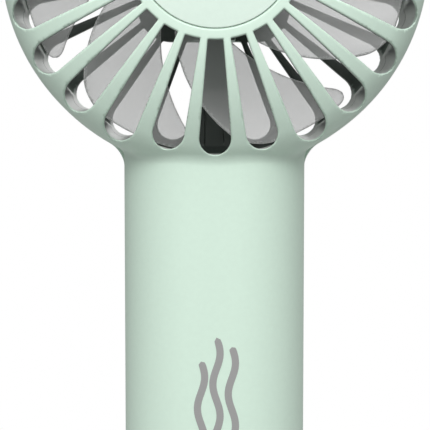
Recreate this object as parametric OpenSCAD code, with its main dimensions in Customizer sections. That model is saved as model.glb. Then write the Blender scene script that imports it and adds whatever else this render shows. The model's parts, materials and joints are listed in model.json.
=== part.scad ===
/* [Head] */
// Outer diameter of the fan head
head_d = 90; // [86:1:96]
// Height of the head centre above the base
head_z = 155; // [150:1:165]
// Depth from the parting plane to the flat front disc
front_depth = 25.9; // [25:0.1:28]
// Depth from the parting plane to the middle of the back
rear_depth = 15.2; // [15:0.1:16]
// Radius of the rounded rim
rim_r = 12; // [11:0.5:12]
// Distance from the parting plane to the start of the front rim
rim_h = 7.8; // [7:0.1:9]
// Radius where the front dome begins
flat_r = 17; // [16.8:0.1:17.5]
// Wall thickness of the head
head_wall = 2.4; // [2:0.1:2.6]
// Radius of the space the blades turn in
cavity_r = 41.5; // [41.4:0.1:42]

/* [Grille] */
// Number of slots round each grille
slot_count = 25; // [25:1:27]
// Angle between the two sides of a front slot
slot_angle = 9.7; // [8:0.1:10]
// Angle between the two sides of a rear slot
rear_slot_angle = 10.8; // [9:0.1:11]
// Radius where the front slots begin
slot_in_r = 18.65; // [18:0.05:20]
// Radius where most front slots end
slot_out_r = 44; // [43:0.1:44]
// Radius where the three front slots over the neck end
neck_slot_out_r = 42.1; // [41.6:0.1:42.5]
// Half the width of the square middle of the rear grille
rear_hub_half = 16.6; // [16:0.1:17]
// Corner radius of the square middle of the rear grille
rear_hub_corner = 7.5; // [6:0.5:8]
// Radius where most rear slots end
rear_slot_out_r = 41; // [39:0.5:41]
// Radius where the rear slots beside the strut end
rear_neck_slot_out_r = 39.1; // [38:0.1:39.5]
// Radius of the front cap
cap_r = 16.5; // [16:0.1:16.5]
// Radius of the rear cap
rear_cap_r = 13; // [12.5:0.1:13]

/* [Handle] */
// Radius of the rounded sides of the handle
grip_r = 15.4; // [15:0.1:16]
// Sideways offset of the rounded sides
grip_offset = 3.7; // [3:0.1:5]
// Wall thickness of the handle
grip_wall = 2; // [1.8:0.1:2.2]
// Height of the hollow inside the handle
grip_hollow_top = 108; // [106:1:108]
// Radius of the shoulder behind the neck
shoulder_r = 8; // [7:0.5:8]
// Thickness of the base cap
base_t = 3; // [3:0.1:4]

/* [Impeller] */
// Number of blades
blade_count = 7; // [5:1:7]
// Radius of the blade tips
tip_r = 41; // [39:0.1:41]
// Radius of the impeller hub
hub_r = 16; // [15.5:0.1:16.5]
// Thickness of a blade
blade_t = 1.2; // [1:0.1:1.5]
// Angle of a blade across its middle
blade_pitch = 30; // [25:1:32]

/* [Battery and controls] */
// Diameter of the battery cell
cell_d = 18.3; // [18:0.1:18.4]
// Length of the battery cell
cell_l = 65; // [64:0.5:65]
// Height of the power button
button_z = 88; // [84:1:90]
// Radius of the power button
button_r = 4.5; // [4:0.1:4.5]
// Height of the charge lights
light_z = 76; // [72:1:78]
// Height of the charging socket
socket_z = 16; // [15:1:18]

/* [Hidden] */
$fn = 96;
far = 200;

// Head section: two tangent arcs on each side of the parting plane
head_r = head_d / 2;
rim_x = head_r - rim_r;
function big_arc_r(across, deep) = (across * across + deep * deep - rim_r * rim_r) / (2 * (deep - rim_r));
dome_r = big_arc_r(rim_x - flat_r, front_depth - rim_h);
back_r = big_arc_r(rim_x, rear_depth);
function dome_end_x(t) = flat_r + (dome_r - t) * (rim_x - flat_r) / (dome_r - rim_r);
function back_end_x(t) = (back_r - t) * rim_x / (back_r - rim_r);

// Front of the hub and its recess
cap_t = 1;
cap_gap = 0.15;
slot_floor = 6;
slot_pitch = 360 / slot_count;

// Rear hub, strut and wire groove, as distances from the parting plane
pad_h = -12.2;
pad_r = 13.6;
rear_cap_h = -14;
rear_cap_t = 0.7;
strut_top = -7;
strut_w = 9.2;
strut_in_r = 14.2;
groove_w = 3.8;
groove_floor = -9.55;
cover_t = 0.8;

// Motor stack, as distances from the parting plane
base_plate_t = 1.5;
base_plate_r = 12.5;
motor_pcb_h = pad_h + base_plate_t;
motor_pcb_t = 1.2;
motor_pcb_r = 11.6;
tube_r = 3.7;
tube_top = 2;
bearing_r = 2.5;
bearing_l = 2.3;
bearing_bore_r = 1.03;
rear_bearing_h = -10;
shaft_r = 1;
shaft_low = -11.6;
shaft_top = 5.2;
washer_t = 0.6;
washer_r = 2;
bush_r = 2.8;
bush_t = 1;
clip_t = 0.5;
can_r = 13;
can_wall = 0.6;
can_low = -8;
can_plate_t = 0.8;
can_top = tube_top + washer_t + bush_t + can_plate_t;
magnet_t = 1.6;
magnet_low = -7.8;
magnet_top = -0.5;
core_low = -6.5;
core_top = -1.5;
core_r = 10.4;
core_ring_r = 5.4;
tooth_count = 9;
tooth_w = 1.6;
shoe_t = 1;
shoe_angle = 32;
coil_w = 3.4;
coil_in_r = 5.6;
coil_out_r = 9.2;
coil_over = 1.1;
motor_screw_ring_r = 9;
motor_screw_r = 0.95;
motor_screw_head_r = 1.7;
motor_screw_head_t = 0.9;

// Impeller hub and blades: each blade lies between two circles in plan
hub_low = -6.4;
hub_top = 8;
hub_deck_t = 2;
hub_rim_t = 1.5;
hub_boss_r = 3;
hub_boss_t = 3;
blade_h = 1.5;
blade_top = 11;
blade_camber_r = 45;
trail_c = [3.1, -25.8];
trail_r = 30.6;
lead_c = [26.2, -16.5];
lead_r = 37.6;
blade_x = -16.8;

// Handle interior, as distances back from the parting plane
board_y = 7.3;
board_t = 1.2;
board_back = board_y + board_t;
board_w = 16;
board_low = 7;
board_top = 104;
cell_y = -2.9;
cell_z = 24;
pad_t = 1.3;
tab_t = 0.2;
tab_w = 5;
tray_t = 1.35;
tray_end_t = 1.5;
tray_cut_y = -5;
tray_gap = 0.05;
grip_top = 116;
grip_back = grip_r - grip_wall;
boss_x = 13.5;
boss_zs = [14, 98];
boss_r = 2.7;
screw_r = 0.95;
screw_hole_r = 1.15;
screw_head_r = 1.8;
screw_head_t = 1.6;
screw_seat_y = 6;
screw_tip_y = -7;
plug_r = 1.95;
plug_hole_r = 2;
post_places = [[5.6, 98], [-5.6, 24]];
post_r = 1.8;
post_screw_r = 0.8;
post_screw_l = 3;
board_hole_r = 0.9;
board_screw_head_r = 1.5;
wire_r = 0.5;
wire_step = 1.15;
wire_y = board_back + wire_r;
wire_low = 97;

// Button stack
switch_w = 5;
switch_t = 2.6;
plunger_r = 0.9;
plunger_hole_r = 0.95;
plunger_y = 10.3;
plunger_hole_y = 9.7;
button_y = 12.1;
flange_t = 1.1;
flange_r = 5.3;
button_proud = 0.7;
bezel_in_r = 4.62;
bezel_out_r = 6;
bezel_seat_y = 14.6;
bezel_proud = 0.5;

// Charge lights and socket
light_xs = [-4.5, -1.5, 1.5, 4.5];
light_pin_r = 0.6;
light_hole_r = 0.62;
light_bar = [12, 0.8, 2.4];
light_bar_y = 12.3;
socket_w = 8.94;
socket_h = 3.26;
socket_wall = 0.3;
socket_front_y = 15;
socket_gap = 0.25;
tongue = [6.6, 5, 0.7];
tongue_base_t = 0.8;

// Base
base_low = 0.4;
foot_t = 1;
foot_inset = 3;
lip_h = 2.5;
lip_gap = 0.1;

// Head frame: x across, y up, z towards the front
module in_head() {
  translate([0, 0, head_z]) rotate([90, 0, 0]) children();
}

// Rearward frame: z towards the back
module rearward(at) {
  translate(at) rotate([-90, 0, 0]) children();
}

module disc(r, low, top) {
  translate([0, 0, low]) cylinder(r = r, h = top - low);
}

module ring(r_in, r_out, low, top) {
  difference() {
    disc(r_out, low, top);
    disc(r_in, low - 1, top + 1);
  }
}

// Half section of the front of the head, inset by t
module front_section(t) {
  split = dome_end_x(t);
  square([flat_r, front_depth - t]);
  intersection() {
    translate([flat_r, front_depth - dome_r]) circle(dome_r - t);
    translate([flat_r, 0]) square([split - flat_r, far]);
  }
  intersection() {
    translate([rim_x, rim_h]) circle(rim_r - t);
    translate([split, 0]) square(far);
  }
  translate([split, 0]) square([head_r - t - split, rim_h]);
}

// Half section of the back of the head, inset by t, with depth along y
module back_section(t) {
  split = back_end_x(t);
  intersection() {
    translate([0, rear_depth - back_r]) circle(back_r - t, $fn = 360);
    square([split, far]);
  }
  intersection() {
    translate([rim_x, 0]) circle(rim_r - t);
    translate([split, 0]) square(far);
  }
}

module front_head(t) {
  in_head() rotate_extrude() front_section(t);
}

module back_head(t) {
  in_head() mirror([0, 0, 1]) rotate_extrude() back_section(t);
}

module front_cavity() {
  in_head() rotate_extrude() intersection() {
    front_section(head_wall);
    square([cavity_r, far]);
  }
}

module back_cavity() {
  in_head() mirror([0, 0, 1]) rotate_extrude() intersection() {
    back_section(head_wall);
    square([cavity_r, far]);
  }
}

// Plan of one slot, pointing down
module slot_plan(angle, r_in, r_out) {
  a = angle / 2;
  centre = r_out / (1 + sin(a));
  side = centre * cos(a);
  difference() {
    union() {
      polygon([
        [-r_in * sin(a) / 2, -r_in * cos(a) / 2],
        [r_in * sin(a) / 2, -r_in * cos(a) / 2],
        [side * sin(a), -side * cos(a)],
        [-side * sin(a), -side * cos(a)]
      ]);
      translate([0, -centre]) circle(centre * sin(a));
    }
    circle(r_in);
  }
}

module front_slots() {
  in_head() for (i = [0:slot_count - 1]) {
    over_neck = i <= 1 || i == slot_count - 1;
    rotate(i * slot_pitch) translate([0, 0, slot_floor]) linear_extrude(far)
      slot_plan(slot_angle, slot_in_r, over_neck ? neck_slot_out_r : slot_out_r);
  }
}

// Plan of the middle of the rear grille, a square with round corners
module rear_hub_plan() {
  side = rear_hub_half - rear_hub_corner;
  for (x = [-side, side], y = [-side, side]) translate([x, y]) circle(rear_hub_corner);
  square([2 * rear_hub_half, 2 * side], center = true);
  square([2 * side, 2 * rear_hub_half], center = true);
}

module back_slots() {
  in_head() difference() {
    for (i = [1:slot_count - 1]) {
      by_strut = i == 1 || i == slot_count - 1;
      rotate(i * slot_pitch) translate([0, 0, -far]) linear_extrude(far - 3)
        slot_plan(rear_slot_angle, pad_r, by_strut ? rear_neck_slot_out_r : rear_slot_out_r);
    }
    translate([0, 0, -far]) linear_extrude(far) rear_hub_plan();
  }
}

// Plan of the handle, inset by t
module grip_plan(t) {
  for (side = [-1, 1]) translate([side * grip_offset, 0]) circle(grip_r - t);
  square([2 * grip_offset, 2 * (grip_r - t)], center = true);
}

// The handle as a solid, with its shoulder rounded behind the neck
module grip_solid() {
  difference() {
    translate([0, 0, base_t]) linear_extrude(grip_top - base_t) grip_plan(0);
    translate([-far / 2, 0, 0]) rotate([90, 0, 90]) linear_extrude(far) difference() {
      translate([grip_r - shoulder_r, grip_top - shoulder_r]) square(far);
      translate([grip_r - shoulder_r, grip_top - shoulder_r]) circle(shoulder_r);
    }
  }
}

module front_half() {
  translate([-far / 2, -far, -far / 2]) cube([far, far, 2 * far]);
}

module back_half() {
  translate([-far / 2, 0, -far / 2]) cube([far, far, 2 * far]);
}

module grip_hollow() {
  translate([0, 0, base_t - 1]) linear_extrude(grip_hollow_top - base_t + 1) grip_plan(grip_wall);
}

module at_bosses(y) {
  for (side = [-1, 1], z = boss_zs) rearward([side * boss_x, y, z]) children();
}

module front_shell() {
  color([0.74, 0.87, 0.79]) difference() {
    union() {
      difference() {
        union() {
          front_head(0);
          intersection() {
            grip_solid();
            front_half();
          }
        }
        front_cavity();
        grip_hollow();
      }
      intersection() {
        grip_solid();
        at_bosses(-grip_r) cylinder(r = boss_r, h = grip_r);
      }
    }
    front_slots();
    in_head() disc(cap_r + cap_gap, front_depth - cap_t, far);
    at_bosses(screw_tip_y) cylinder(r = screw_r, h = far);
  }
}

module rear_shell() {
  color([0.64, 0.78, 0.7]) difference() {
    union() {
      difference() {
        union() {
          back_head(0);
          intersection() {
            grip_solid();
            back_half();
          }
        }
        back_cavity();
        grip_hollow();
      }
      in_head() disc(pad_r, rear_cap_h - cap_t / 2, pad_h);
      intersection() {
        back_head(head_wall / 2);
        in_head() translate([-strut_w / 2, -head_r, -far]) cube([strut_w, head_r - strut_in_r, far + strut_top]);
      }
      intersection() {
        grip_solid();
        at_bosses(0) cylinder(r = boss_r, h = grip_r);
      }
      for (p = post_places) rearward([p[0], board_back, p[1]]) cylinder(r = post_r, h = grip_back - board_back + 1);
    }
    back_slots();
    in_head() translate([-groove_w / 2, -head_r - grip_r, groove_floor])
      cube([groove_w, head_r + grip_r - strut_in_r + 1, strut_top - cover_t - groove_floor]);
    in_head() translate([-groove_w / 2, -cavity_r, groove_floor])
      cube([groove_w, cavity_r - strut_in_r + 1, far]);
    in_head() disc(rear_cap_r + cap_gap, -far, rear_cap_h);
    at_motor_screws() disc(motor_screw_head_r + 0.1, -far, rear_cap_h + motor_screw_head_t);
    at_motor_screws() disc(motor_screw_r + 0.1, -far, far);
    at_bosses(-1) cylinder(r = screw_hole_r, h = far);
    at_bosses(screw_seat_y) cylinder(r = plug_hole_r, h = far);
    for (p = post_places) rearward([p[0], 0, p[1]]) cylinder(r = post_screw_r, h = board_back + post_screw_l);
    rearward([0, board_back, button_z]) cylinder(r = bezel_in_r, h = far);
    rearward([0, bezel_seat_y, button_z]) cylinder(r = bezel_out_r + 0.05, h = far);
    for (x = light_xs) rearward([x, board_back, light_z]) cylinder(r = light_hole_r, h = far);
    rearward([0, board_back, socket_z]) linear_extrude(far)
      stadium(socket_w + 2 * socket_gap, socket_h + 2 * socket_gap);
  }
}

module front_cap() {
  color([0.88, 0.95, 0.9]) in_head() disc(cap_r, front_depth - cap_t, front_depth);
}

module rear_cap() {
  color([0.7, 0.83, 0.75]) in_head() disc(rear_cap_r, rear_cap_h - rear_cap_t, rear_cap_h);
}

module base_cap() {
  color([0.7, 0.83, 0.75]) difference() {
    union() {
      translate([0, 0, base_low]) linear_extrude(base_t - base_low) grip_plan(0);
      translate([0, 0, base_t]) linear_extrude(lip_h) grip_plan(grip_wall + lip_gap);
    }
    translate([0, 0, base_low - 1]) linear_extrude(foot_t - base_low + 1) grip_plan(foot_inset);
  }
}

module base_pad() {
  color([0.25, 0.28, 0.27]) linear_extrude(foot_t) grip_plan(foot_inset);
}

module shell_screws() {
  color("silver") {
    at_bosses(screw_tip_y) cylinder(r = screw_r, h = screw_seat_y - screw_tip_y + 0.5);
    at_bosses(screw_seat_y) cylinder(r = screw_head_r, h = screw_head_t);
  }
}

module screw_plugs() {
  color([0.6, 0.72, 0.65]) intersection() {
    grip_solid();
    at_bosses(screw_seat_y + screw_head_t) cylinder(r = plug_r, h = grip_r);
  }
}

module blade_plan() {
  difference() {
    intersection() {
      circle(tip_r);
      translate(trail_c) circle(trail_r);
    }
    translate(lead_c) circle(lead_r);
  }
}

module blade() {
  intersection() {
    translate([0, 0, hub_low]) linear_extrude(blade_top - hub_low) blade_plan();
    translate([blade_x, 0, blade_h]) rotate([0, blade_pitch, 0]) translate([0, 0, blade_camber_r])
      rotate([90, 0, 0]) difference() {
        cylinder(r = blade_camber_r + blade_t / 2, h = far, center = true);
        cylinder(r = blade_camber_r - blade_t / 2, h = far + 2, center = true);
      }
  }
}

module impeller() {
  color([0.55, 0.57, 0.57, 0.6]) in_head() difference() {
    union() {
      disc(hub_r, hub_low, hub_top);
      for (i = [0:blade_count - 1]) rotate(i * 360 / blade_count) blade();
    }
    disc(can_r, hub_low - 1, can_top);
    ring(hub_boss_r, hub_r - hub_rim_t, can_top + hub_deck_t, hub_top + 1);
    disc(hub_boss_r + 1, can_top + hub_boss_t, hub_top + 1);
    disc(shaft_r, can_top - 1, shaft_top);
  }
}

module rotor_can() {
  color("silver") in_head() difference() {
    disc(can_r, can_low, can_top);
    disc(can_r - can_wall, can_low - 1, can_top - can_plate_t);
    disc(shaft_r, can_low, can_top + 1);
  }
}

module magnet_ring() {
  color([0.2, 0.2, 0.22]) in_head() ring(can_r - can_wall - magnet_t, can_r - can_wall, magnet_low, magnet_top);
}

module motor_shaft() {
  color("gainsboro") in_head() disc(shaft_r, shaft_low, shaft_top);
}

module rotor_bush() {
  color("goldenrod") in_head() ring(shaft_r, bush_r, tube_top + washer_t, tube_top + washer_t + bush_t);
}

module thrust_washer() {
  color([0.93, 0.93, 0.88]) in_head() ring(shaft_r, washer_r, tube_top + 0.05, tube_top + washer_t);
}

module shaft_clip() {
  color("dimgray") in_head() ring(shaft_r, washer_r, rear_bearing_h - 0.1 - clip_t, rear_bearing_h - 0.1);
}

module at_motor_screws() {
  in_head() for (i = [0:2]) rotate(90 + i * 120) translate([motor_screw_ring_r, 0, 0]) children();
}

module motor_base() {
  color("darkgray") difference() {
    in_head() union() {
      disc(base_plate_r, pad_h, motor_pcb_h);
      disc(tube_r, pad_h, tube_top);
    }
    in_head() disc(bearing_r, pad_h - 1, tube_top + 1);
    at_motor_screws() disc(motor_screw_r, pad_h - 1, motor_pcb_h + 1);
  }
}

module motor_pcb() {
  color("darkgreen") in_head() ring(tube_r, motor_pcb_r, motor_pcb_h, motor_pcb_h + motor_pcb_t);
}

module stator_core() {
  color("slategray") in_head() {
    ring(tube_r, core_ring_r, core_low, core_top);
    for (i = [0:tooth_count - 1]) rotate(i * 360 / tooth_count) {
      translate([core_ring_r - 0.3, -tooth_w / 2, core_low])
        cube([core_r - shoe_t / 2 - core_ring_r + 0.3, tooth_w, core_top - core_low]);
      intersection() {
        ring(core_r - shoe_t, core_r, core_low, core_top);
        rotate(-shoe_angle / 2) wedge(shoe_angle);
      }
    }
  }
}

module wedge(angle) {
  translate([0, 0, -far / 2]) linear_extrude(far)
    polygon([[0, 0], [far, 0], [far * cos(angle), far * sin(angle)]]);
}

module stator_windings() {
  color([0.72, 0.42, 0.2]) in_head() for (i = [0:tooth_count - 1]) rotate(i * 360 / tooth_count) difference() {
    translate([coil_in_r, -coil_w / 2, core_low - coil_over])
      cube([coil_out_r - coil_in_r, coil_w, core_top - core_low + 2 * coil_over]);
    translate([0, -tooth_w / 2, core_low]) cube([far, tooth_w, core_top - core_low]);
  }
}

module bearing(low) {
  color("lightgray") in_head() ring(bearing_bore_r, bearing_r, low, low + bearing_l);
}

module front_bearing() {
  bearing(tube_top - bearing_l);
}

module rear_bearing() {
  bearing(rear_bearing_h);
}

module motor_screws() {
  color("silver") {
    at_motor_screws() disc(motor_screw_head_r, rear_cap_h, rear_cap_h + motor_screw_head_t);
    at_motor_screws() disc(motor_screw_r, rear_cap_h, motor_pcb_h - 0.2);
  }
}

module motor_wires() {
  top = head_z - motor_pcb_r + 1.5;
  color("firebrick") for (i = [-1:1])
    translate([i * wire_step, wire_y, wire_low]) cylinder(r = wire_r, h = top - wire_low, $fn = 24);
}

module wire_cover() {
  color([0.64, 0.78, 0.7]) in_head() translate([-groove_w / 2, -cavity_r, strut_top - cover_t])
    cube([groove_w, cavity_r - strut_in_r, cover_t]);
}

module battery_cell() {
  color([0.2, 0.45, 0.7]) translate([0, cell_y, cell_z]) cylinder(d = cell_d, h = cell_l);
}

module battery_tray() {
  low = cell_z - tab_t - pad_t;
  top = cell_z + cell_l + tab_t + pad_t;
  color([0.9, 0.9, 0.88]) translate([0, cell_y, 0]) intersection() {
    difference() {
      disc(cell_d / 2 + tray_gap + tray_t - 0.05, low - tray_end_t, top + tray_end_t);
      disc(cell_d / 2 + tray_gap, low, top);
    }
    translate([-far / 2, -far + tray_cut_y - cell_y, 0]) cube(far);
  }
}

module battery_pads() {
  color([0.3, 0.3, 0.3]) translate([0, cell_y, 0]) {
    disc(cell_d / 2 - 1.2, cell_z - tab_t - pad_t, cell_z - tab_t);
    disc(cell_d / 2 - 1.2, cell_z + cell_l + tab_t, cell_z + cell_l + tab_t + pad_t);
  }
}

module battery_tabs() {
  color("lightgray") for (z = [cell_z - tab_t, cell_z + cell_l])
    translate([-tab_w / 2, 2 * cell_y, z]) cube([tab_w, board_y - 2 * cell_y, tab_t]);
}

module main_pcb() {
  color("darkgreen") difference() {
    translate([-board_w / 2, board_y, board_low]) cube([board_w, board_t, board_top - board_low]);
    for (p = post_places) rearward([p[0], 0, p[1]]) cylinder(r = board_hole_r, h = far);
  }
}

// A box on the back of the board: x and z of its middle, then its three sizes
module on_board(x, z, size) {
  translate([x - size[0] / 2, board_back, z - size[2] / 2]) cube(size);
}

module pcb_chips() {
  color([0.12, 0.12, 0.13]) {
    on_board(0, 64, [5, 0.9, 5]);
    on_board(-3.5, 46, [4, 0.9, 4]);
    on_board(-3.5, 36, [3, 0.9, 3]);
  }
}

module boost_inductor() {
  color([0.3, 0.3, 0.32]) difference() {
    on_board(3.2, 43, [6, 3, 6]);
    rearward([3.2, board_back + 2.6, 43]) cylinder(r = 2.2, h = 1);
  }
}

module capacitors() {
  color([0.75, 0.6, 0.4]) {
    on_board(3.5, 35, [3.2, 1.6, 1.6]);
    on_board(3.5, 31.5, [3.2, 1.6, 1.6]);
    on_board(3, 53, [3.2, 1.6, 1.6]);
    on_board(-3, 53, [2, 1.2, 1.2]);
  }
}

module pcb_screws() {
  color("silver") for (p = post_places) {
    rearward([p[0], board_y - board_screw_head_r / 2, p[1]])
      cylinder(r = board_screw_head_r, h = board_screw_head_r / 2);
    rearward([p[0], board_y - 0.3, p[1]]) cylinder(r = post_screw_r, h = board_t + post_screw_l);
  }
}

module tact_switch() {
  color([0.15, 0.15, 0.15]) difference() {
    on_board(0, button_z, [switch_w, switch_t, switch_w]);
    rearward([0, plunger_hole_y, button_z]) cylinder(r = plunger_hole_r, h = far);
  }
}

module switch_plunger() {
  color("black") rearward([0, plunger_y, button_z]) cylinder(r = plunger_r, h = button_y - plunger_y);
}

module power_button() {
  color([0.78, 0.9, 0.83]) {
    rearward([0, button_y, button_z]) cylinder(r = flange_r, h = flange_t);
    rearward([0, button_y, button_z]) cylinder(r = button_r, h = grip_r + button_proud - button_y);
  }
}

module button_bezel() {
  color([0.6, 0.74, 0.66]) rearward([0, 0, button_z])
    ring(bezel_in_r, bezel_out_r, bezel_seat_y, grip_r + bezel_proud);
}

module indicator_lens() {
  color([0.95, 0.95, 0.9]) {
    translate([-light_bar[0] / 2, light_bar_y, light_z - light_bar[2] / 2]) cube(light_bar);
    for (x = light_xs) rearward([x, light_bar_y, light_z]) cylinder(r = light_pin_r, h = grip_r - light_bar_y - 0.1);
  }
}

module indicator_leds() {
  color([0.98, 0.95, 0.7]) for (x = light_xs) on_board(x, light_z, [1.6, 0.6, 0.8]);
}

module stadium(w, h) {
  for (side = [-1, 1]) translate([side * (w - h) / 2, 0]) circle(d = h);
  square([w - h, h], center = true);
}

module usb_shell() {
  color("silver") rearward([0, board_back, socket_z]) linear_extrude(socket_front_y - board_back) difference() {
    stadium(socket_w, socket_h);
    stadium(socket_w - 2 * socket_wall, socket_h - 2 * socket_wall);
  }
}

module usb_tongue() {
  color([0.1, 0.1, 0.1]) {
    rearward([0, board_back, socket_z]) linear_extrude(tongue_base_t)
      stadium(socket_w - 2 * socket_wall, socket_h - 2 * socket_wall);
    on_board(0, socket_z, [tongue[0], tongue_base_t + tongue[1], tongue[2]]);
  }
}

front_shell();
rear_shell();
front_cap();
rear_cap();
base_cap();
base_pad();
shell_screws();
screw_plugs();
impeller();
rotor_can();
magnet_ring();
motor_shaft();
rotor_bush();
thrust_washer();
shaft_clip();
motor_base();
motor_pcb();
stator_core();
stator_windings();
front_bearing();
rear_bearing();
motor_screws();
motor_wires();
wire_cover();
battery_cell();
battery_tray();
battery_pads();
battery_tabs();
main_pcb();
pcb_chips();
boost_inductor();
capacitors();
pcb_screws();
tact_switch();
switch_plunger();
power_button();
button_bezel();
indicator_lens();
indicator_leds();
usb_shell();
usb_tongue();
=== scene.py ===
"""Looks of the handheld fan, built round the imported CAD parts.

Shapes are worked out in millimetres in the row frame: X across, Y to the back and Z up from the foot.
"""

import json
import math
from itertools import product

import bmesh
import bpy
import numpy as np
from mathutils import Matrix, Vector


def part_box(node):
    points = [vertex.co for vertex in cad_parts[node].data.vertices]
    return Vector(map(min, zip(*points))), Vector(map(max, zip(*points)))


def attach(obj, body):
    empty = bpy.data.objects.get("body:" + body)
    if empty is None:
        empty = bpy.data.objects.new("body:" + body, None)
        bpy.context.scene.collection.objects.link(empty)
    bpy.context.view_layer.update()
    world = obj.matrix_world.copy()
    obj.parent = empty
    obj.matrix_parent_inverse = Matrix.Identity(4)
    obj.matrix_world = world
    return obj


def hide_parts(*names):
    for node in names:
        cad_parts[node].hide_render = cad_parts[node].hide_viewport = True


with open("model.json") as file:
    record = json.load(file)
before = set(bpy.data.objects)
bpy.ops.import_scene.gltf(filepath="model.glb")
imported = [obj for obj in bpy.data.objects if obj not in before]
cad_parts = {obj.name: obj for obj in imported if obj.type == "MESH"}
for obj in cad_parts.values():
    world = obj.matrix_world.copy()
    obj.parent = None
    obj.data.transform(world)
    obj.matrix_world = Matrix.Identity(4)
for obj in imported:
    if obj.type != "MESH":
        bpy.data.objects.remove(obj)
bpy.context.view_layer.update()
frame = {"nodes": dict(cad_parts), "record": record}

MM = 0.001


# ---------------------------------------------------------------- sizes in millimetres

def size_of(node):
    """Lowest and highest corner of a CAD node, in millimetres."""
    low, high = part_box(node)
    return np.array(low) / MM, np.array(high) / MM


shell_low, shell_high = size_of("front_shell")
cap_low, cap_high = size_of("front_cap")
rear_cap_low, rear_cap_high = size_of("rear_cap")
base_low, base_high = size_of("base_cap")
button_low, button_high = size_of("power_button")
bezel_low, bezel_high = size_of("button_bezel")
socket_low, socket_high = size_of("usb_shell")
lens_low, lens_high = size_of("indicator_lens")

# The head: two halves that meet at y = 0. Each is a dome with a round rim. The front one has a flat middle.
HEAD_R = shell_high[0]
HEAD_Z = shell_high[2] - HEAD_R
FRONT = -shell_low[1]
REAR = 15.2
RIM_R = 12.0
RIM_H = 8.8
FLAT_R = 17.0
WALL = 2.4
CAVITY_R = 41.5
CAP_R = cap_high[0]
CAP_T = cap_high[1] - cap_low[1]
CENTRE_HOLE_R = 8.0

# Gaps between pieces, and how far edges are rounded
SEAM = 0.1
PARTING = 0.05
EDGE = 0.35
LIP_EDGE = 0.22
SEAM_EDGE = 0.12

# The grille. A slot's sides spread by HALF_SLOT from its middle line, and its outer end leans in by DRAFT
# for each millimetre below DRAFT_TOP. Slots over the neck are shorter.
SLOTS = 25
PITCH = 2 * math.pi / SLOTS
SLOT_IN_R = 18.8
SLOT_OUT_R = 44.0
NECK_SLOT_OUT_R = 42.1
REAR_NECK_SLOT_OUT_R = 39.1
REAR_HUB_HALF = 16.6
REAR_HUB_CORNER = 7.5
HALF_SLOT = math.radians(4.85)
HALF_REAR_SLOT = math.radians(5.4)
REAR_SPREAD_Y = 5
DRAFT = 0.107
DRAFT_TOP = 12.5

# The handle: flat in the middle and round at the sides, and narrower towards the foot
FLAT_HALF = 3.7
NECK_R, NECK_Z = 15.5, 112.0
FOOT_R, FOOT_Z = 14.95, 3.0
GRIP_WALL = 2.0
GRIP_TOP = 116.0
HOLLOW_TOP = 108.0
SHOULDER_R = 8.0
SHOULDER_EDGE = 0.4
SHOULDER_Y = 10
NECK_FILLET = 1.2
REAR_FILLET = 3.0

# The strut from the neck to the middle, its groove for the motor's wires, and the pad under the motor
STRUT_HALF = 4.6
STRUT_TOP = 7.0
GROOVE_HALF = 1.9
GROOVE_DEPTH = 0.85
HUB_PAD_R = 13.6
HUB_PAD_Y = 12.2

# The handle's back: button, charging socket, charge lights and screw bosses with their plugs
BUTTON_Z = (button_low[2] + button_high[2]) / 2
BUTTON_R = 4.5
BEZEL_IN_R = 4.64
SOCKET_Z = (socket_low[2] + socket_high[2]) / 2
SOCKET_HALF, SOCKET_R = 2.84, 1.86
LIGHT_Z = (lens_low[2] + lens_high[2]) / 2
LIGHT_XS = (-4.5, -1.5, 1.5, 4.5)
BOSS_X = 13.5
BOSS_ZS = (14.0, 98.0)
BOSS_R = 2.7
PLUG_R = 2.0
OPENING_Y = 8
PLUG_HOLE_Y = 6

# The impeller. Circles are (x, up, radius) for a blade's long edges, and (x, depth, radius) for its section.
BLADES = 7
FIRST_BLADE = math.radians(38)
TRAIL = (3.1, -25.8, 30.6)
LEAD = (26.2, -16.5, 37.6)
CAMBER = (5.7, 40.47, 45.0)
TIP_R = 40.95
TRAIL_CORNER, LEAD_CORNER = 3.2, 3.9
BLADE_T = 1.1
BLADE_EDGE = 0.4
BLADE_ROOT = 0.7
HUB_R = 16.0
HUB_MIDDLE, HUB_HALF, HUB_EDGE = 0.8, 7.2, 0.8
MOTOR_R, MOTOR_TOP = 13.05, 4.45
RECESS_R, RECESS_FLOOR = 14.5, 6.4
BUSH_R = 3
CLIP_R, CLIP_FLOOR = 4, 7.4
SHAFT_R = 1.0

# A distance that stands for nothing near
FAR = 9.0


# ---------------------------------------------------------------- signed distances

def join(a, b, r):
    """Union with a fillet of radius r."""
    return np.maximum(r, np.minimum(a, b)) - np.hypot(np.maximum(r - a, 0), np.maximum(r - b, 0))


def common(a, b, r):
    """Intersection with its edge rounded to radius r."""
    return -join(-a, -b, r)


def cut(a, b, r):
    """a without b, with the edge rounded to radius r."""
    return -join(-a, b, r)


def ease(t):
    """Smooth step from 0 to 1."""
    t = np.clip(t, 0, 1)
    return t * t * (3 - 2 * t)


def dome(rho, deep, flat_r, depth, rim_h):
    """Distance to one half of the head: a flat middle, a dome arc, the rim arc and the straight side."""
    rim = HEAD_R - RIM_R
    across, up = rim - flat_r, depth - rim_h
    big = (across**2 + up**2 - RIM_R**2) / (2 * (up - RIM_R))
    low = depth - big
    nx, ny = across / (big - RIM_R), (rim_h - low) / (big - RIM_R)
    on_dome = (rho - flat_r) * ny < (deep - low) * nx
    side = np.where(deep > rim_h, np.hypot(rho - rim, deep - rim_h) - RIM_R, rho - HEAD_R)
    shape = np.where(on_dome, np.hypot(rho - flat_r, deep - low) - big, side)
    return np.where(rho < flat_r, deep - depth, shape) if flat_r else shape


def grip_r(z):
    """Radius of the handle's sides, which narrow a little towards the foot."""
    return FOOT_R + (NECK_R - FOOT_R) * (z - FOOT_Z) / (NECK_Z - FOOT_Z)


def pill(x, y):
    """Distance from the handle's flat middle line, in plan."""
    return np.hypot(np.maximum(np.abs(x) - FLAT_HALF, 0), y)


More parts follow.
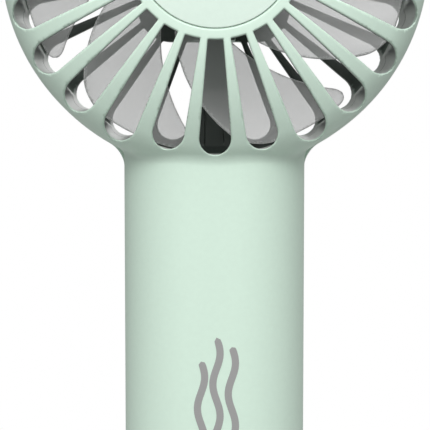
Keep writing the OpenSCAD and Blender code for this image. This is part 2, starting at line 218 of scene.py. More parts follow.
def rear_hub(x, up):
    """Distance to the middle of the rear grille, a square with round corners."""
    side = REAR_HUB_HALF - REAR_HUB_CORNER
    dx, dz = np.abs(x) - side, np.abs(up) - side
    outside = np.hypot(np.maximum(dx, 0), np.maximum(dz, 0))
    return outside + np.minimum(np.maximum(dx, dz), 0) - REAR_HUB_CORNER


def slots(x, up, half, middle, r_out):
    """Distance to the nearest slot, in plan: two straight sides and a round outer end, outside the middle."""
    rho = np.hypot(x, up)
    turn = np.arctan2(x, -up)
    off = np.abs((turn / PITCH + 0.5) % 1 - 0.5) * PITCH
    centre = r_out / (1 + np.sin(half))
    end = np.hypot(rho * np.cos(off) - centre, rho * np.sin(off)) - centre * np.sin(half)
    side = rho * np.sin(off - half)
    plan = np.where(rho * np.cos(off - half) > centre * np.cos(half), end, side)
    return common(plan, -middle, 0.25)


def bosses(x, z, r):
    """Distance to the nearest screw boss axis, less r."""
    return np.minimum(*[np.hypot(np.abs(x) - BOSS_X, z - b) - r for b in BOSS_ZS])


def hollowed(outside, head, grip, rho, x, z):
    """A case half with the head and the handle hollow, and its screw bosses left standing."""
    in_head = np.maximum(head + WALL, rho - CAVITY_R)
    in_grip = np.maximum(grip + GRIP_WALL, z - HOLLOW_TOP)
    shell = np.maximum(outside, -np.minimum(in_head, in_grip))
    return np.minimum(shell, np.maximum(outside, bosses(x, z, BOSS_R)))


def front_field(x, y, z):
    """The front half of the case."""
    h, up = -y, z - HEAD_Z
    rho = np.hypot(x, up)
    head = dome(rho, h, FLAT_R, FRONT, RIM_H)
    grip = pill(x, y) - grip_r(z)
    outside = join(head, np.maximum(grip, z - GRIP_TOP), NECK_FILLET)
    shell = hollowed(outside, head, grip, rho, x, z)
    over_neck = np.abs(np.arctan2(x, -up)) < 1.5 * PITCH
    r_out = np.where(over_neck, NECK_SLOT_OUT_R, SLOT_OUT_R) - DRAFT * np.maximum(DRAFT_TOP - h, 0)
    shell = cut(shell, slots(x, up, HALF_SLOT, rho - SLOT_IN_R, r_out), EDGE)
    shell = cut(shell, np.maximum(rho - CAP_R - SEAM, FRONT - CAP_T - h), SEAM_EDGE)
    shell = common(shell, PARTING - h, LIP_EDGE)
    shell = common(shell, FOOT_Z + PARTING - z, LIP_EDGE)
    return np.maximum(shell, CENTRE_HOLE_R - rho)


def rear_field(x, y, z):
    """The rear half of the case, with its strut and the openings in the handle."""
    up = z - HEAD_Z
    rho = np.hypot(x, up)
    head = dome(rho, y, 0, REAR, 0)
    plain = pill(x, y) - grip_r(z)
    grip = common(plain, z - GRIP_TOP, SHOULDER_EDGE + SHOULDER_R * ease(y / SHOULDER_Y))
    outside = join(head, grip, REAR_FILLET)
    shell = hollowed(outside, head, plain, rho, x, z)
    strut = np.maximum(np.maximum(np.abs(x) - STRUT_HALF, STRUT_TOP - y), np.maximum(up + HUB_PAD_R, head))
    strut = np.maximum(strut, -np.maximum(np.abs(x) - GROOVE_HALF, y - STRUT_TOP - GROOVE_DEPTH))
    hub = np.maximum(np.maximum(rho - HUB_PAD_R, HUB_PAD_Y - y), head)
    shell = join(np.minimum(shell, hub), strut, 0.3)
    turn = np.abs(np.arctan2(x, -up))
    r_out = np.where(turn < 1.5 * PITCH, REAR_NECK_SLOT_OUT_R, SLOT_OUT_R - DRAFT * (DRAFT_TOP + y))
    half = HALF_SLOT + (HALF_REAR_SLOT - HALF_SLOT) * ease(y / REAR_SPREAD_Y)
    grille = np.where(turn < 0.5 * PITCH, FAR, slots(x, up, half, rear_hub(x, up), r_out))
    shell = cut(shell, grille, EDGE)
    shell = cut(shell, np.maximum(rho - rear_cap_high[0] - SEAM, rear_cap_low[1] - y), SEAM_EDGE)
    at_button = np.hypot(x, z - BUTTON_Z)
    shell = cut(shell, np.maximum(at_button - BUTTON_R - 0.12, OPENING_Y - y), 0.15)
    shell = cut(shell, np.maximum(at_button - bezel_high[0] - 0.08, bezel_low[1] - y), 0.15)
    shell = cut(shell, np.maximum(bosses(x, z, PLUG_R + 0.05), PLUG_HOLE_Y - y), 0.2)
    socket = np.hypot(np.maximum(np.abs(x) - SOCKET_HALF, 0), z - SOCKET_Z) - SOCKET_R
    shell = cut(shell, np.maximum(socket, OPENING_Y - y), 0.3)
    shell = common(shell, PARTING - y, LIP_EDGE)
    shell = common(shell, FOOT_Z + PARTING - z, LIP_EDGE)
    return np.maximum(shell, CENTRE_HOLE_R - rho)


def blade_plan(x, up):
    """Distance to one blade's outline: between two circles, with its tip corners rounded."""
    trail = np.hypot(x - TRAIL[0], up - TRAIL[1]) - TRAIL[2]
    tip = np.hypot(x, up) - TIP_R
    lead = np.hypot(x - LEAD[0], up - LEAD[1]) - LEAD[2]
    return cut(common(trail, tip, TRAIL_CORNER), lead, LEAD_CORNER)


def impeller_field(x, y, z):
    """Seven blades on a hub that is hollow for the motor."""
    h, up = -y, z - HEAD_Z
    rho = np.hypot(x, up)
    turn = np.arctan2(-x, -up)
    step = 2 * math.pi / BLADES
    nearest = np.round((turn - FIRST_BLADE) / step)
    blades = np.full(np.broadcast(x, y, z).shape, FAR)
    for k in (-1, 0, 1):
        a = (nearest + k) * step
        bx, bup = x * np.cos(a) - up * np.sin(a), x * np.sin(a) + up * np.cos(a)
        sheet = np.abs(np.hypot(bx - CAMBER[0], h - CAMBER[1]) - CAMBER[2]) - BLADE_T / 2
        blades = np.minimum(blades, common(blade_plan(bx, bup), sheet, BLADE_EDGE))
    hub = common(rho - HUB_R, np.abs(h - HUB_MIDDLE) - HUB_HALF, HUB_EDGE)
    motor = np.maximum(rho - MOTOR_R, h - MOTOR_TOP)
    recess = np.maximum(np.maximum(rho - RECESS_R, BUSH_R - rho), RECESS_FLOOR - h)
    whole = np.maximum(join(blades, hub, BLADE_ROOT), -motor)
    whole = cut(whole, recess, 0.2)
    whole = np.maximum(whole, -np.maximum(rho - CLIP_R, CLIP_FLOOR - h))
    return np.maximum(whole, SHAFT_R - rho)


# ---------------------------------------------------------------- meshes

SLOPE_STEP = 0.01
NORMAL_STEP = 0.04
MOVE_LIMIT = 0.3
SETTLE_PASSES = 4
GRIP_TURN = math.radians(29)
FLATTEN_OVER = 12


def stretches(*parts):
    """Lattice places from (start, stop, step) stretches and single numbers."""
    out = []
    for p in parts:
        out.extend(np.arange(*p) if isinstance(p, tuple) else [p])
    return np.array(out, float)


def gradient(field, p, e):
    """Slope of the field at each point."""
    out = np.empty_like(p)
    for i in range(3):
        d = np.zeros(3)
        d[i] = e
        out[:, i] = (field(*(p + d).T) - field(*(p - d).T)) / (2 * e)
    return out


def lattice_cells(values, plan_x, plan_z, depth):
    """A vertex for each lattice cell that the surface passes, and a quad for each edge that it crosses."""
    count_a, count_b, count_c = values.shape
    inside = values < 0
    ring = np.concatenate([inside, inside[:1]])
    corners = list(product((0, 1), repeat=3))
    full = sum(ring[i:i + count_a, j:j + count_b - 1, k:k + count_c - 1].astype(np.uint8)
               for i, j, k in corners)
    a, b, c = np.nonzero((full > 0) & (full < 8))
    ids = np.full(full.shape, -1)
    ids[a, b, c] = np.arange(len(a))
    at, val = [], []
    for i, j, k in corners:
        ia = (a + i) % count_a
        at.append(np.stack([plan_x[ia, b + j], depth[c + k], plan_z[ia, b + j]], 1))
        val.append(values[ia, b + j, c + k])
    total, hits = np.zeros((len(a), 3)), np.zeros(len(a))
    for m, n in product(range(8), repeat=2):
        if m < n and sum(u != v for u, v in zip(corners[m], corners[n])) == 1:
            crossed = (val[m] < 0) != (val[n] < 0)
            t = np.where(crossed, val[m] / np.where(crossed, val[m] - val[n], 1), 0)
            total += np.where(crossed[:, None], at[m] + t[:, None] * (at[n] - at[m]), 0)
            hits += crossed
    quads = []
    for axis in range(3):
        j, k = (axis + 1) % 3, (axis + 2) % 3
        nxt = np.roll(inside, -1, axis)
        crossed = inside != nxt
        for other in (1, 2):
            keep = [slice(None)] * 3
            keep[other] = -1
            crossed[tuple(keep)] = False
            if other != axis:
                keep[other] = 0
                crossed[tuple(keep)] = False
        at_node = list(np.nonzero(crossed))
        low_inside = inside[tuple(at_node)]
        four = []
        for dj, dk in ((1, 1), (0, 1), (0, 0), (1, 0)):
            cell = list(at_node)
            cell[j] = cell[j] - dj
            cell[k] = cell[k] - dk
            cell[0] = cell[0] % count_a
            four.append(ids[tuple(cell)])
        quad = np.stack(four, 1)
        quads.append(np.where(low_inside[:, None], quad, quad[:, ::-1]))
    return total / hits[:, None], np.concatenate(quads)


def add_mesh(name, points, faces, body, slot, normals=None, node=None):
    """A mesh object from points in millimetres, riding on a body."""
    mesh = bpy.data.meshes.new(name)
    mesh.from_pydata((np.asarray(points) * MM).tolist(), [], [list(map(int, f)) for f in faces])
    mesh.polygons.foreach_set("use_smooth", np.ones(len(mesh.polygons), bool))
    if normals is not None:
        mesh.normals_split_custom_set_from_vertices(normals.tolist())
    piece = bpy.data.objects.new(name, mesh)
    bpy.context.scene.collection.objects.link(piece)
    piece.data.materials.append(MATERIALS[slot])
    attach(piece, body)
    if node:
        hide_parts(node)
    return piece


def tint(piece, name, values):
    """Stores one number for each vertex, which the material reads."""
    piece.data.attributes.new(name, "FLOAT", "POINT").data.foreach_set("value", values.astype(np.float32))


def moulded(name, field, plan_x, plan_z, depth, live, body, slot):
    """A smooth closed piece from its signed distance, worked out only at the live plan places."""
    values = np.ones(plan_x.shape + (len(depth),))
    values[live] = field(plan_x[live][:, None], depth[None, :], plan_z[live][:, None])
    points, quads = lattice_cells(values, plan_x, plan_z, depth)
    for _ in range(SETTLE_PASSES):
        slope = gradient(field, points, SLOPE_STEP)
        move = field(*points.T) / np.maximum((slope**2).sum(1), 0.25)
        points -= np.clip(move, -MOVE_LIMIT, MOVE_LIMIT)[:, None] * slope
    normals = gradient(field, points, NORMAL_STEP)
    normals /= np.maximum(np.linalg.norm(normals, axis=1), 1e-9)[:, None]
    across = points[quads[:, 2]] - points[quads[:, 0]]
    along = points[quads[:, 3]] - points[quads[:, 1]]
    if (np.cross(across, along) * normals[quads[:, 0]]).sum() < 0:
        quads = quads[:, ::-1]
    return add_mesh(name, points, quads, body, slot, normals, name), points, normals


def case_lattice(columns, head_rows, grip_rows):
    """Plan places of a case half: rings round the head, then rows that flatten out down the handle."""
    turn = np.arange(columns) * 2 * math.pi / columns - math.pi
    last = head_rows[-1]
    plan_x = np.outer(np.sin(turn), head_rows)
    plan_z = HEAD_Z - np.outer(np.cos(turn), head_rows)
    bow = last * (1 - np.cos(turn))
    flatten = 1 - ease(grip_rows / FLATTEN_OVER)
    grip_x = np.repeat((last * np.sin(turn))[:, None], len(grip_rows), 1)
    grip_z = HEAD_Z - last - grip_rows[None, :] + bow[:, None] * flatten[None, :]
    live = np.ones((columns, len(head_rows) + len(grip_rows)), bool)
    live[np.abs(turn) > GRIP_TURN, len(head_rows):] = False
    return np.hstack([plan_x, grip_x]), np.hstack([plan_z, grip_z]), live


def rounded(corners, steps=6):
    """A polyline with each corner (x, y, radius) turned into an arc."""
    out = []
    for i, (x, y, r) in enumerate(corners):
        here = np.array([x, y], float)
        if r == 0 or i in (0, len(corners) - 1):
            out.append(here)
            continue
        before = np.array(corners[i - 1][:2], float) - here
        after = np.array(corners[i + 1][:2], float) - here
        before /= np.linalg.norm(before)
        after /= np.linalg.norm(after)
        half = math.acos(np.clip(before @ after, -1, 1)) / 2
        middle = here + (before + after) / np.linalg.norm(before + after) * r / math.sin(half)
        start, end = here + before * r / math.tan(half), here + after * r / math.tan(half)
        a0 = math.atan2(*(start - middle)[::-1])
        sweep = (math.atan2(*(end - middle)[::-1]) - a0 + math.pi) % (2 * math.pi) - math.pi
        out.extend(middle + r * np.array([math.cos(a0 + sweep * t), math.sin(a0 + sweep * t)])
                   for t in np.linspace(0, 1, steps))
    return out


def flat_edges(piece, degrees=35):
    """Keeps edges sharper than this as edges, and smooths the rest."""
    bm = bmesh.new()
    bm.from_mesh(piece.data)
    bmesh.ops.recalc_face_normals(bm, faces=bm.faces)
    for e in bm.edges:
        e.smooth = len(e.link_faces) == 2 and e.calc_face_angle(0) < math.radians(degrees)
    bm.to_mesh(piece.data)
    bm.free()
    return piece


def turned(name, outline, z, body, slot, ring=False, segments=128):
    """A piece turned about the Y axis at height z, in place of the CAD node of its name.

    outline holds (radius, y) points, which go from the axis to the axis or, with ring, round a closed ring.
    """
    turns = np.arange(segments) * 2 * math.pi / segments
    outline = [p for i, p in enumerate(outline) if i == 0 or np.linalg.norm(p - outline[i - 1]) > 1e-6]
    rows = outline if ring else outline[1:-1]
    points = [(r * math.cos(t), y, z + r * math.sin(t)) for r, y in rows for t in turns]
    faces = []
    for i in range(len(rows) if ring else len(rows) - 1):
        for s in range(segments):
            t, j = (s + 1) % segments, (i + 1) % len(rows)
            faces.append([i * segments + s, i * segments + t, j * segments + t, j * segments + s])
    if not ring:
        first, final = len(points), len(points) + 1
        points += [(0, outline[0][1], z), (0, outline[-1][1], z)]
        base = (len(rows) - 1) * segments
        for s in range(segments):
            t = (s + 1) % segments
            faces.append([first, t, s])
            faces.append([final, base + s, base + t])
    return flat_edges(add_mesh(name, points, faces, body, slot, node=name))


def pill_ring(inset, z, count=128):
    """The handle's outline at height z, drawn in by inset."""
    r = grip_r(z) - inset
    out = []
    for i in range(count):
        t = 2 * math.pi * (i + 0.5) / count
        out.append((math.copysign(FLAT_HALF, math.cos(t)) + r * math.cos(t), r * math.sin(t), z))
    return out


def pill_stack(name, sections, slot):
    """A closed piece lofted through handle outlines (inset, z), in place of the CAD node of its name."""
    rings = [pill_ring(inset, z) for inset, z in sections]
    count = len(rings[0])
    points = [p for ring in rings for p in ring]
    faces = [list(range(count))[::-1], [len(points) - count + s for s in range(count)]]
    for i in range(len(rings) - 1):
        for s in range(count):
            t = (s + 1) % count
            faces.append([i * count + s, i * count + t, (i + 1) * count + t, (i + 1) * count + s])
    return flat_edges(add_mesh(name, points, faces, "root", slot, node=name))


# ---------------------------------------------------------------- materials

def moulded_material(name, colour, rough, grain=0.03, grain_scale=900, bump=0.05, metal=0.0, alpha=1.0,
                     wall=None, dark=None, edge=None, coat=0.0):
    """A plastic, rubber or metal finish: fine colour grain, uneven gloss and a small texture.

    wall, dark and edge are the colours where the vertex attributes wall, inner and edge are 1: painted grey
    shade on slot walls, painted near-black shade on wall flanks and inside the head, and a painted sheen on
    blade edges, where the alpha also rises to EDGE_ALPHA.
    """
    mat = bpy.data.materials.new(name)
    mat.use_nodes = True
    nodes, links = mat.node_tree.nodes, mat.node_tree.links
    shader = nodes["Principled BSDF"]
    shader.inputs["Metallic"].default_value = metal
    shader.inputs["Alpha"].default_value = alpha
    shader.inputs["Coat Weight"].default_value = coat
    place = nodes.new("ShaderNodeTexCoord")
    fine = nodes.new("ShaderNodeTexNoise")
    fine.inputs["Scale"].default_value = grain_scale
    fine.inputs["Detail"].default_value = 4
    broad = nodes.new("ShaderNodeTexNoise")
    broad.inputs["Scale"].default_value = 45
    broad.inputs["Detail"].default_value = 2
    for noise in (fine, broad):
        links.new(place.outputs["Object"], noise.inputs["Vector"])
    ramp = nodes.new("ShaderNodeMix")
    ramp.data_type = "RGBA"
    ramp.inputs["A"].default_value = (*[c * (1 - grain) for c in colour], 1)
    ramp.inputs["B"].default_value = (*[min(1, c * (1 + grain)) for c in colour], 1)
    links.new(fine.outputs["Fac"], ramp.inputs["Factor"])
    out = ramp.outputs["Result"]
    for attribute, other in (("wall", wall), ("inner", dark), ("edge", edge)):
        if other:
            read = nodes.new("ShaderNodeAttribute")
            read.attribute_name = attribute
            if attribute == "edge":
                solid = nodes.new("ShaderNodeMapRange")
                solid.inputs["To Min"].default_value = alpha
                solid.inputs["To Max"].default_value = EDGE_ALPHA
                links.new(read.outputs["Fac"], solid.inputs["Value"])
                links.new(solid.outputs["Result"], shader.inputs["Alpha"])
            mix = nodes.new("ShaderNodeMix")
            mix.data_type = "RGBA"
            mix.inputs["B"].default_value = (*other, 1)
            links.new(read.outputs["Fac"], mix.inputs["Factor"])
            links.new(out, mix.inputs["A"])
            out = mix.outputs["Result"]
    links.new(out, shader.inputs["Base Color"])
    gloss = nodes.new("ShaderNodeMapRange")
    gloss.inputs["To Min"].default_value = rough - 0.05
    gloss.inputs["To Max"].default_value = rough + 0.05
    links.new(broad.outputs["Fac"], gloss.inputs["Value"])
    links.new(gloss.outputs["Result"], shader.inputs["Roughness"])
    relief = nodes.new("ShaderNodeBump")
    relief.inputs["Strength"].default_value = bump
    relief.inputs["Distance"].default_value = 0.0001
    links.new(fine.outputs["Fac"], relief.inputs["Height"])
    links.new(relief.outputs["Normal"], shader.inputs["Normal"])
    return mat


# Painted sheen: how opaque the blades' rounded edges are made, together with their paler colour.
EDGE_ALPHA = 0.85
# Painted shade: near black stands in for the shade inside the head, and grey for the shade on the slot walls,
# which are mint plastic.
PAINTED_SHADE_GREEN = (0.05, 0.062, 0.055)
PAINTED_WALL_SHADE = (0.6, 0.63, 0.6)
MINT = (0.645, 0.81, 0.695)
MATERIALS = {
    # Painted shade: this material paints slot walls grey, and their flanks and the inside of the head near
    # black.
    "shell_green": moulded_material("shell_green", MINT, 0.45, wall=PAINTED_WALL_SHADE, dark=PAINTED_SHADE_GREEN),
    "cap_pale": moulded_material("cap_pale", (0.705, 0.845, 0.75), 0.4),
    "dark_rubber": moulded_material("dark_rubber", (0.05, 0.06, 0.056), 0.75, bump=0.3),
    "plug_rubber": moulded_material("plug_rubber", (0.5, 0.66, 0.56), 0.65, bump=0.2),
    # Painted sheen: the blades' rounded edges are painted paler and made more opaque.
    "smoke_plastic": moulded_material("smoke_plastic", (0.62, 0.62, 0.62), 0.3, grain=0.02, bump=0.02,
                                      alpha=0.4, edge=(0.75, 0.75, 0.75)),
    # Painted shade: the near black of the inside of the head, for pieces that lie there.
    "inside_green": moulded_material("inside_green", PAINTED_SHADE_GREEN, 0.5),
    "zinc_screw": moulded_material("zinc_screw", (0.6, 0.61, 0.62), 0.32, metal=1, grain_scale=2500),
    "motor_steel": moulded_material("motor_steel", (0.5, 0.51, 0.53), 0.28, metal=1, grain_scale=1800),
    "magnet": moulded_material("magnet", (0.06, 0.06, 0.068), 0.6, bump=0.3),
    "bush_brass": moulded_material("bush_brass", (0.72, 0.53, 0.25), 0.3, metal=1),
    "nylon": moulded_material("nylon", (0.82, 0.82, 0.77), 0.5),
    "motor_alloy": moulded_material("motor_alloy", (0.56, 0.57, 0.59), 0.42, metal=1, bump=0.2),
    "board_green": moulded_material("board_green", (0.02, 0.16, 0.07), 0.35, grain=0.15, grain_scale=350),
    "core_steel": moulded_material("core_steel", (0.3, 0.31, 0.33), 0.45, metal=1, grain_scale=2600,
                                   bump=0.3),
    "copper_winding": moulded_material("copper_winding", (0.62, 0.26, 0.1), 0.35, metal=1, grain=0.2,
                                       bump=0.6),
    "wire_red": moulded_material("wire_red", (0.45, 0.03, 0.03), 0.5),
    "cell_blue": moulded_material("cell_blue", (0.05, 0.2, 0.42), 0.35, coat=0.3),
    "foam": moulded_material("foam", (0.06, 0.06, 0.06), 0.9, bump=0.8, grain=0.3),
    "nickel": moulded_material("nickel", (0.66, 0.65, 0.62), 0.25, metal=1, grain_scale=2000),
    "chip_black": moulded_material("chip_black", (0.02, 0.02, 0.023), 0.5, bump=0.2),
    "capacitor_tan": moulded_material("capacitor_tan", (0.55, 0.42, 0.26), 0.45),
    "clear_lens": moulded_material("clear_lens", (0.86, 0.97, 0.89), 0.2, grain=0.01),
    "mark_grey": moulded_material("mark_grey", (0.315, 0.315, 0.312), 0.5),
}


# ---------------------------------------------------------------- camera, light and floor

def add_camera():
    """Level camera in front of the fan, at the height of the neck."""
    data = bpy.data.cameras.new("camera")
    data.sensor_width = 36
    data.lens = 222.9
    data.shift_x, data.shift_y = 0.056, 0.0465
    camera = bpy.data.objects.new("camera", data)
    camera.location = (-0.005, -0.5681, 0.0963)
    camera.rotation_euler = (math.pi / 2, 0, 0)
    bpy.context.scene.collection.objects.link(camera)
    bpy.context.scene.camera = camera


def add_area(name, place, aim, power, width, height):
    """A soft rectangular light aimed at a point."""
    data = bpy.data.lights.new(name, "AREA")
    data.shape = "RECTANGLE"
    data.size, data.size_y = width, height
    data.energy = power
    light = bpy.data.objects.new(name, data)
    light.location = place
    light.rotation_euler = (Vector(aim) - Vector(place)).to_track_quat("-Z", "Y").to_euler()
    bpy.context.scene.collection.objects.link(light)


def add_world(below, above):
    """White behind the fan, and a dimmer light on it that changes from below to above."""
    world = bpy.data.worlds.new("studio")
    world.use_nodes = True
    nodes, links = world.node_tree.nodes, world.node_tree.links
    plain = nodes["Background"]
    place = nodes.new("ShaderNodeTexCoord")
    split = nodes.new("ShaderNodeSeparateXYZ")
    fade = nodes.new("ShaderNodeMapRange")
    fade.inputs["From Min"].default_value = -1
    fade.inputs["To Min"].default_value = below
    fade.inputs["To Max"].default_value = above
    links.new(place.outputs["Generated"], split.inputs[0])
    links.new(split.outputs["Z"], fade.inputs["Value"])
    links.new(fade.outputs["Result"], plain.inputs["Strength"])
    plain.inputs["Color"].default_value = (1, 1, 1, 1)
    seen = nodes.new("ShaderNodeBackground")
    seen.inputs["Color"].default_value = (1, 1, 1, 1)
    path = nodes.new("ShaderNodeLightPath")
    mix = nodes.new("ShaderNodeMixShader")
    links.new(path.outputs["Is Camera Ray"], mix.inputs[0])
    links.new(plain.outputs[0], mix.inputs[1])
    links.new(seen.outputs[0], mix.inputs[2])
    links.new(mix.outputs[0], nodes["World Output"].inputs["Surface"])
    bpy.context.scene.world = world


def add_floor(radius, steps=96):
    """A plain pale disc under the fan."""
    mesh = bpy.data.meshes.new("floor")
    rim = [(radius * math.cos(2 * math.pi * i / steps), radius * math.sin(2 * math.pi * i / steps), 0)
           for i in range(steps)]
    mesh.from_pydata(rim, [], [list(range(steps))])
    floor = bpy.data.objects.new("floor", mesh)
    paint = moulded_material("floor_paint", (0.72, 0.72, 0.71), 0.8, grain=0.01, grain_scale=120)
    mesh.materials.append(paint)
    bpy.context.scene.collection.objects.link(floor)
    floor.visible_diffuse = False


head_centre = (0, 0, HEAD_Z * MM)
add_camera()
add_world(below=0.36, above=0.33)
add_area("front", (-0.05, -0.85, 0.75), head_centre, power=10.2, width=1.1, height=0.5)
add_area("top", (0, -0.33, 0.95), head_centre, power=3.2, width=0.8, height=0.6)
add_area("back", (0.35, 0.9, 0.6), head_centre, power=3.5, width=0.8, height=0.8)
add_floor(radius=0.35)
bpy.context.scene.view_settings.view_transform = "Standard"


# ---------------------------------------------------------------- the case

# Lattice places, closest together where an edge, a seam or a fillet has to come out clean: rings round the
# head's axis, layers going out from the parting plane, and rows below the last ring, down the handle
FRONT_COLUMNS = 450
REAR_COLUMNS = 425
HEAD_ROWS = stretches(7.4, 8.6, 11, 14, 15.6, (16.2, 19.4, 0.35), (19.6, 36, 0.9),
                      (36.4, 45.8, 0.42), 46.4, 47.2, 48)
REAR_ROWS = stretches(7.4, 8.6, 11, 12, (12.5, 14.4, 0.3), 15.1, (15.8, 20.8, 0.42), (21, 36, 0.95),
                      (36.4, 45.8, 0.42), 46.4, 47.2, 48)
LAYERS = stretches(-0.4, -0.12, 0.18, 0.5, 0.95, 1.45, (1.95, 27, 0.48))
FRONT_GRIP_ROWS = stretches((0.7, 5, 0.8), (5.3, 12.4, 0.5), (13, 89.5, 2.5), (90, 96.5, 0.5),
                            (97, 103, 1.5), 103.6, 103.85, 104.1, 104.4)
REAR_GRIP_ROWS = stretches((0.7, 5, 0.8), (5.3, 26.2, 0.45), (27, 87, 2.5), (87.6, 96.5, 0.45),
                           (97, 103, 1.5), 103.6, 103.85, 104.1, 104.4)
REAR_LAYERS = LAYERS[LAYERS < 16.4]

# How far under the outer surface the slot walls' painted grey shade starts and how far on it is full, how
# near the parting plane a wall has it whichever way it faces, and how squarely one has to face the axis to
# stay light, free of the darker painted shade at the flanks
WALL_FROM = 0.45
WALL_OVER = 0.8
PARTING_BAND = 0.9
LIGHT_END = 0.97


def wall_shade(places, facing, flat_r, depth, rim_h):
    """Painted shade on the slot walls: how much each place is a wall painted grey, and how much it is painted
    darker towards the slot's flanks. A slot's outer end stays light.
    """
    x, up = places[:, 0], places[:, 2] - HEAD_Z
    rho = np.hypot(x, up)
    under = -dome(rho, np.abs(places[:, 1]), flat_r, depth, rim_h)
    inward = -(facing[:, 0] * x + facing[:, 2] * up) / rho
    upright = np.maximum(ease((0.75 - np.abs(facing[:, 1])) / 0.4), np.abs(places[:, 1]) < PARTING_BAND)
    wall = ease((under - WALL_FROM) / WALL_OVER) * upright * (rho > SLOT_IN_R - 1)
    return wall, wall * ease((LIGHT_END - inward) / 0.4)


plan_x, plan_z, live = case_lattice(FRONT_COLUMNS, HEAD_ROWS, FRONT_GRIP_ROWS)
front, places, facing = moulded("front_shell", front_field, plan_x, plan_z, -LAYERS, live, "root",
                                "shell_green")
# Painted shade on the front shell: slot walls grey, darkening to near black towards their flanks.
wall, shade = wall_shade(places, facing, FLAT_R, FRONT, RIM_H)
tint(front, "wall", wall)
tint(front, "inner", shade)

plan_x, plan_z, live = case_lattice(REAR_COLUMNS, REAR_ROWS, REAR_GRIP_ROWS)
rear, places, facing = moulded("rear_shell", rear_field, plan_x, plan_z, REAR_LAYERS, live, "root",
                               "shell_green")
# Painted shade on the rear shell: surfaces inside the head that face the front are painted near black, and
# slot walls grey.
within = np.hypot(places[:, 0], places[:, 2] - HEAD_Z) < CAVITY_R
painted_inside_shade = within * ease((-0.1 - facing[:, 1]) / 0.5) * ease(places[:, 1] / 3)
wall, shade = wall_shade(places, facing, 0, REAR, 0)
tint(rear, "wall", wall * (1 - painted_inside_shade))
tint(rear, "inner", np.maximum(painted_inside_shade, shade))

turned("front_cap", rounded([(0, cap_high[1], 0), (CAP_R, cap_high[1], 0.05), (CAP_R, cap_low[1], 0.22),
                             (0, cap_low[1], 0)]), HEAD_Z, "root", "cap_pale")
turned("rear_cap", rounded([(0, rear_cap_low[1], 0), (rear_cap_high[0], rear_cap_low[1], 0.05),
                            (rear_cap_high[0], rear_cap_high[1], 0.3), (0, rear_cap_high[1], 0)]),
       HEAD_Z, "root", "shell_green")


# ---------------------------------------------------------------- the impeller

BLADE_COLUMNS = 406
BLADE_ROWS = stretches(0.8, 1.3, 2.2, 2.8, 3.3, 3.8, 4.3, 6, 9, 12, 12.8, 13.3, 14, 14.4, 14.8, 15.3, 15.8,
                       16.2, 16.7, (17.2, 42, 0.5))
BLADE_LAYERS = -stretches((-7, 11.6, 0.48))
turn = np.arange(BLADE_COLUMNS) * 2 * math.pi / BLADE_COLUMNS
plan_x = np.outer(np.sin(turn), BLADE_ROWS)
plan_z = HEAD_Z - np.outer(np.cos(turn), BLADE_ROWS)
impeller, places, facing = moulded("impeller", impeller_field, plan_x, plan_z, BLADE_LAYERS,
                                   np.ones(plan_x.shape, bool), "rotor", "smoke_plastic")
on_blade = np.hypot(places[:, 0], places[:, 2] - HEAD_Z) > HUB_R + 1.5
# Painted sheen: a paler, more opaque colour where a blade's surface turns away from facing front or back, on
# its rounded edges.
tint(impeller, "edge", ease((0.75 - np.abs(facing[:, 1])) / 0.3) * on_blade)


# ---------------------------------------------------------------- small pieces outside

def base_outline():
    """Base cap from the bottom up: foot recess, rounded lower edge, side and inner lip."""
    radius = 1.2
    recess, lip = 3.0, GRIP_WALL + 0.1
    low, top = base_low[2], FOOT_Z
    arc = [(radius - radius * math.sin(a), low + radius - radius * math.cos(a))
           for a in np.linspace(0, math.pi / 2, 8)]
    return [(recess, 1.0), (recess, low + 0.15), (recess - 0.15, low)] + arc + [
        (0, top - 0.25), (0.12, top - 0.03), (lip, top - 0.03), (lip, base_high[2])]


def button_outline():
    """The button from the middle of its dished face to its side, its flange and its underside."""
    top, low = button_high[1], button_low[1]
    side, flange = BUTTON_R - 0.03, low + 1.1
    return [(0, top - 0.35, 0), (2.4, top - 0.28, 2), (3.4, top, 1.2), (side, top, 0.5), (side, flange, 0.05),
            (button_high[0], flange, 0.1), (button_high[0], low, 0.1), (0, low, 0)]


def bezel_outline():
    """The ring round the button, from a place on its inner side and back to it."""
    start = (BEZEL_IN_R, 15.1, 0)
    return [start, (BEZEL_IN_R, bezel_low[1], 0.05), (bezel_high[0], bezel_low[1], 0.05),
            (bezel_high[0], bezel_high[1], 0.35), (BEZEL_IN_R, bezel_high[1], 0.2), start]


pill_stack("base_cap", base_outline(), "shell_green")
pill_stack("base_pad", [(3.25, 0), (3.08, 0.07), (3.02, 0.25), (3.02, 0.98)], "dark_rubber")
turned("power_button", rounded(button_outline()), BUTTON_Z, "button", "cap_pale")
turned("button_bezel", rounded(bezel_outline())[:-1], BUTTON_Z, "root", "shell_green", ring=True)


def grip_y(x, z):
    """Depth of the handle's surface at x and z."""
    return math.sqrt(grip_r(z) ** 2 - max(abs(x) - FLAT_HALF, 0) ** 2)


def patch(middle, rings, count, back):
    """Points and faces of a low round piece set in the handle's back.

    rings holds (radius, height over the surface), and a skirt goes in by back.
    """
    cx, cz = middle
    points, faces = [], []
    for r, over in [*rings, (rings[-1][0], -back)]:
        for i in range(count):
            t = 2 * math.pi * i / count
            x, z = cx + r * math.cos(t), cz + r * math.sin(t)
            points.append((x, grip_y(x, z) + over, z))
    for k in range(len(rings)):
        for i in range(count):
            j = (i + 1) % count
            faces.append([k * count + i, k * count + j, (k + 1) * count + j, (k + 1) * count + i])
    points += [(cx, grip_y(cx, cz) + rings[0][1], cz), (cx, grip_y(cx, cz) - back, cz)]
    last = len(rings) * count
    for i in range(count):
        j = (i + 1) % count
        faces += [[len(points) - 2, j, i], [len(points) - 1, last + i, last + j]]
    return points, faces


def patches(name, middles, rings, count, slot, back):
    """Several round patches as one piece, in place of the CAD node of its name."""
    points, faces = [], []
    for middle in middles:
        more, sides = patch(middle, rings, count, back)
        faces += [[len(points) + i for i in f] for f in sides]
        points += more
    return flat_edges(add_mesh(name, points, faces, "root", slot, node=name), 50)


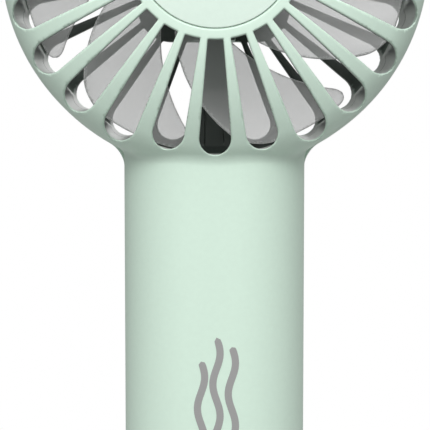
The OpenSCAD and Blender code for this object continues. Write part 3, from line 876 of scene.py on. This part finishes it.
patches("screw_plugs", [(s * BOSS_X, z) for s in (-1, 1) for z in BOSS_ZS],
        [(0.6, -0.12), (1.4, -0.12), (1.75, -0.15), (1.88, -0.22), (1.93, -0.4)], 48, "plug_rubber", back=3.0)
patches("indicator_lens", [(x, LIGHT_Z) for x in LIGHT_XS],
        [(0.25, 0.1), (0.45, 0.085), (0.58, 0.05), (0.63, -0.02)], 32, "clear_lens", back=1.0)


# ---------------------------------------------------------------- the printed mark: three breeze lines

def breeze_lines(lines, width=1.5, wave=0.75, length=13, steps=60, end_power=40, lift=0.02, skin=0.03):
    """Thin printed wavy ribbons down the front of the handle. Each line is (x, top, bottom)."""
    points, faces = [], []
    for x0, top_z, low_z in lines:
        first = len(points)
        for i in range(steps + 1):
            t = i / steps
            z = top_z + (low_z - top_z) * t
            turn = 2 * math.pi * (top_z - z) / length
            x = x0 + wave * math.sin(turn)
            lean = wave * math.cos(turn) * 2 * math.pi / length
            norm = math.hypot(1, lean)
            half = width / 2 * math.sqrt(max(0.0, 1 - (2 * t - 1) ** end_power))
            for side in (-1, 1):
                px, pz = x + side * half / norm, z + side * half * lean / norm
                y = -grip_y(px, pz)
                points += [(px, y - lift, pz), (px, y - lift - skin, pz)]
        for i in range(steps):
            a, b = first + 4 * i, first + 4 * (i + 1)
            faces += [[a + 1, a + 3, b + 3, b + 1], [a, b, b + 2, a + 2]]
            faces += [[a, a + 1, b + 1, b], [a + 2, b + 2, b + 3, a + 3]]
        last = first + 4 * steps
        faces += [[first, first + 2, first + 3, first + 1], [last, last + 1, last + 3, last + 2]]
    mark = add_mesh("breeze_mark", points, faces, "root", "mark_grey")
    return flat_edges(mark, 50)


breeze_lines([(-2.9, 70, 49), (0.3, 75, 40), (3.5, 73, 55)])


# ---------------------------------------------------------------- finishes of the CAD parts that stay

# The wire cover lies inside the head, so it is painted the near-black shade of the inside.
for row in frame["record"]["subparts"]:
    node = frame["nodes"][row["node"]]
    finish = "inside_green" if row["node"] == "wire_cover" else row["material_slot"]
    node.data.materials.clear()
    node.data.materials.append(MATERIALS[finish])
